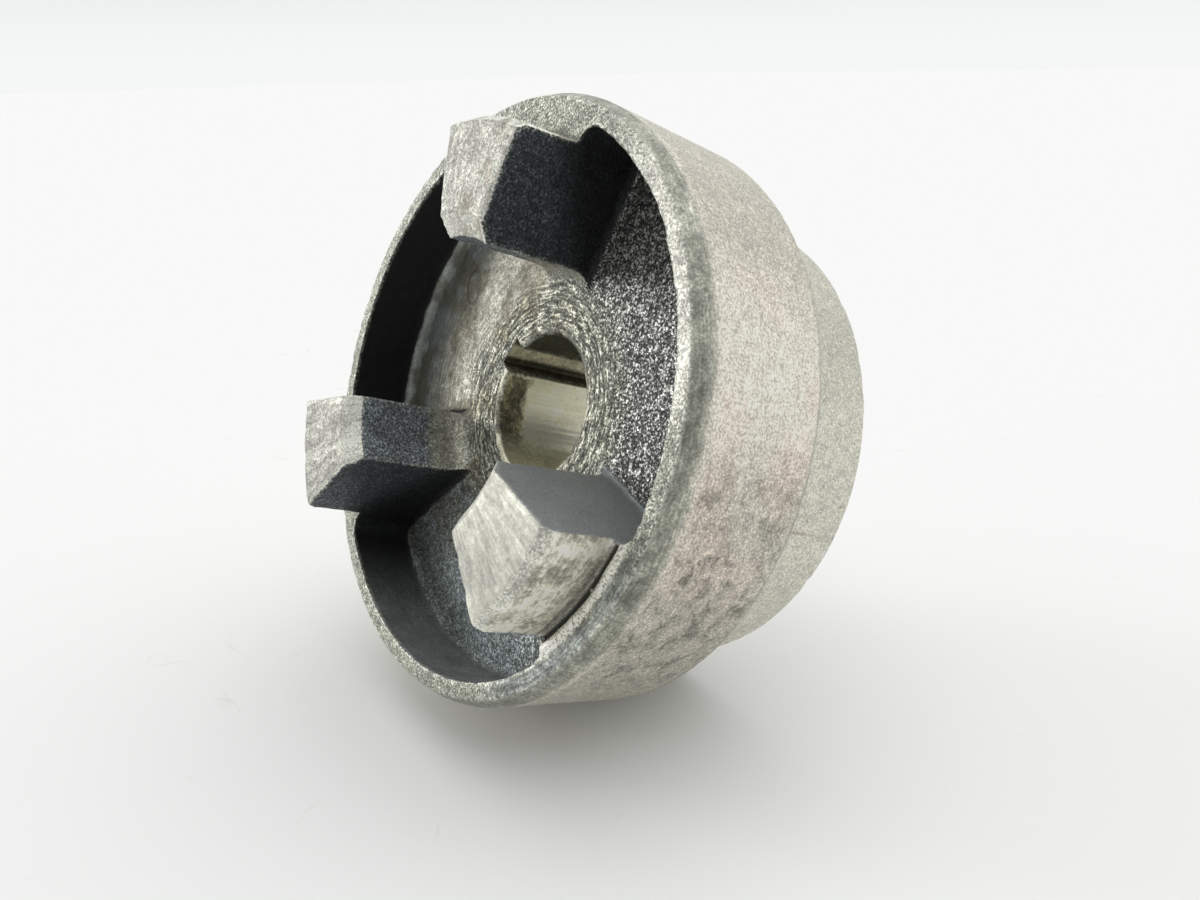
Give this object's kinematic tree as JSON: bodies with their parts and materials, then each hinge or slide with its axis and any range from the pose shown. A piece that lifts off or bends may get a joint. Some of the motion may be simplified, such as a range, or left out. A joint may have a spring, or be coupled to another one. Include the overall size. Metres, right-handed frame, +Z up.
{
  "type": "jaw coupling hub",
  "caption": "Cast aluminium shaft coupling hub: a shallow cup with wedge jaws that drive a rubber insert, a keyed bore and set screws.",
  "frame": {"origin": "on the bore axis, in the plane of the barrel's back face", "axes": "the bore runs along Y: -Y out of the cup and past the jaws, +Y out of the barrel's back. +Z is up, through the middle of one jaw. +X is to the right for somebody who looks into the cup"},
  "size_m": [0.09, 0.0536, 0.09],
  "materials": {
    "cast_aluminium": "as cast with machined rim, floor and bore, oxidised, scuffed and dirty",
    "black_steel": "black oxide, slightly oily"
  },
  "bodies": {
    "hub": {"hub_casting": "cast_aluminium"},
    "key_screw": {"key_set_screw": "black_steel"},
    "shaft_screw": {"shaft_set_screw": "black_steel"}
  },
  "joints": [
    {"name": "key_screw_travel", "type": "slide", "parent": "hub", "child": "key_screw", "axis": [-0.866, 0, 0.5], "range_m": [-0.001, 0.0096]},
    {"name": "shaft_screw_travel", "type": "slide", "parent": "hub", "child": "shaft_screw", "axis": [-0.5, 0, -0.866], "range_m": [-0.001, 0.012]}
  ]
}
